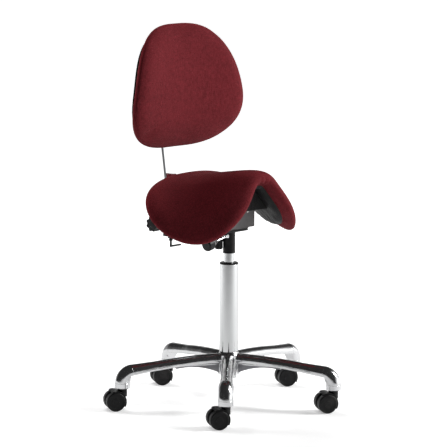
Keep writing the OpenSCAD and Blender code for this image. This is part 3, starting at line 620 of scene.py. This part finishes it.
def make_saddle_pad():
    made, st, side = pad_mesh("saddle_pad", saddle, SEAT_POWER, SEAT_HALF_THICK, SEAT_ROUND,
                              UP, 30, 9, 0.8)
    radius = outline_radius(st, SEAT_POWER)
    under = side < 0
    held = np.where(under, smoothstep(-radius, -0.99, -0.86), 0)
    free = 1 - 0.8 * smoothstep(radius, 0.86, 1) - np.where(under, 0.2, 0)
    inflate(made, held, free, 4.0, 0.004)
    # Gathers where the fabric is pulled round to the underside.
    co, normal = places(made), vertex_normals(made)
    angle = np.arctan2(st[:, 1], st[:, 0])
    reach = np.where(under, smoothstep(radius, 0.70, 0.82) * smoothstep(-radius, -0.985, -0.88), 0)
    gathers = np.sin(46 * angle + 1.7 * np.sin(5 * angle)) * 0.55 + 0.3 * np.sin(73 * angle + 0.8)
    nose = np.exp(-(st[:, 0] / 0.2)**2) * smoothstep(-st[:, 1], 0.66, 0.82)
    nose = nose * np.where(under, smoothstep(radius, 0.78, 0.86), smoothstep(radius, 0.95, 1.0))
    folds = np.cos(st[:, 0] * 57 + 0.4) + 0.5 * np.cos(st[:, 0] * 33 + 1.1)
    co = co + normal * (reach * gathers * 0.0007 + nose * folds * 0.0013)[:, None]
    put_places(made, co)
    finish_piece(made, "seat", "burgundy_fabric")
    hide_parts("seat_cushion")


make_saddle_pad()

# ---------------------------------------------------------------- saddle lining


LINING_REACH, LINING_DEPTH, HEM_DEPTH = 0.845, 26.0, 17.2


def make_lining():
    rings = 34
    ring, ds, dt = square_grid(rings, SEAT_POWER)
    radius = LINING_REACH * ring / rings
    s, t = ds * radius, dt * radius
    tuck = smoothstep(radius, 0.808, LINING_REACH)
    off = -LINING_DEPTH + (LINING_DEPTH - HEM_DEPTH) * tuck
    flat = on_surface(saddle, s, t, off, UP).reshape(-1, 3)
    angle = np.arctan2(t, s)
    pull = smoothstep(radius, 0.5, 0.8) * (1 - tuck)
    gathers = (pull * (1.1 + 0.9 * np.sin(34 * angle + 1.3 * np.sin(4 * angle)))).ravel()
    inside = (1 - smoothstep(radius, 0.74, 0.82)).ravel()
    normal = face_normal(saddle, s, t, UP).reshape(-1, 3)
    soft = noise_at(flat, 0.018, 0.018)
    crease = noise_at(flat, 0.02, 0.06)
    fine = noise_at(flat, 0.05, 0.11)
    sag = gathers + inside * (1.4 + 1.6 * soft + 3.4 * abs(crease) + 2.0 * abs(fine))
    # Over the middle the cloth lies on the block under the seat.
    room = 3.0 + 6.0 * smoothstep(abs(s), 0.5, 0.62).ravel()
    flat = flat - normal * np.minimum(sag, room)[:, None]
    width = 2 * rings + 1
    index = np.arange(width * width).reshape(width, width)
    faces = [[int(index[a, b]), int(index[a, b + 1]), int(index[a + 1, b + 1]),
              int(index[a + 1, b])] for a in range(width - 1) for b in range(width - 1)]
    made = new_object("saddle_lining", flat * MM, faces)
    thick = made.modifiers.new("thickness", "SOLIDIFY")
    thick.thickness = 0.0007
    thick.offset = 0
    finish_piece(made, "seat", "black_lining")
    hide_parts("seat_lining")


make_lining()


def bead(name, surface, power, outward, radius, off, thick, around, body, look, twist=0):
    """A cord of cloth or rubber that follows the outline of a surface, as a closed tube."""
    angle = np.linspace(0, 2 * math.pi, around, endpoint=False)
    s, t = squared(angle, power)
    centre = on_surface(surface, s * radius, t * radius, np.full(around, off), outward)
    along = np.roll(centre, -1, 0) - np.roll(centre, 1, 0)
    along = along / np.linalg.norm(along, axis=1, keepdims=True)
    normal = face_normal(surface, s * radius, t * radius, outward)
    side = np.cross(along, normal)
    sections = 10
    points = []
    for k in range(sections):
        a = 2 * math.pi * k / sections
        size = thick * (1 + 0.10 * np.sin(twist * angle + a))[:, None]
        points.append(centre + size * (math.cos(a) * normal + math.sin(a) * side))
    points = np.stack(points, 1).reshape(-1, 3)
    faces = []
    for i in range(around):
        for k in range(sections):
            j, m = (i + 1) % around, (k + 1) % sections
            faces.append([i * sections + k, j * sections + k, j * sections + m, i * sections + m])
    made = new_object(name, points * MM, faces)
    fix_direction(made)
    finish_piece(made, body, look, 0)
    return made


bead("saddle_hem", saddle, SEAT_POWER, UP, 0.846, -17.6, 1.9, 420, "seat", "burgundy_fabric", 90)

# ---------------------------------------------------------------- backrest pad


def make_backrest_pad():
    made, st, side = pad_mesh("backrest_pad", backrest, BACK_POWER, BACK_HALF_THICK, BACK_ROUND,
                              FRONT, 26, 9, 1.2)
    radius = outline_radius(st, BACK_POWER)
    under = side < 0
    held = np.where(under, smoothstep(-radius, -0.99, -0.88), 0)
    free = (1 - 0.9 * smoothstep(radius, 0.84, 1)) * np.where(under, 0.5, 1)
    inflate(made, held, free, 4.0, 0.003)
    co, normal = places(made), vertex_normals(made)
    angle = np.arctan2(st[:, 1], st[:, 0])
    reach = np.where(under, smoothstep(radius, 0.8, 0.88) * smoothstep(-radius, -0.985, -0.92), 0)
    gathers = np.sin(38 * angle + 1.3 * np.sin(3 * angle)) + 0.5 * np.sin(61 * angle)
    co = co + normal * (reach * gathers * 0.0004)[:, None]
    put_places(made, co)
    finish_piece(made, "backrest", "burgundy_fabric")
    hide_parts("back_cushion")


make_backrest_pad()
bead("backrest_gasket", backrest, BACK_POWER, FRONT, 0.868, -19.4, 1.7, 360, "backrest",
     "black_rubber")
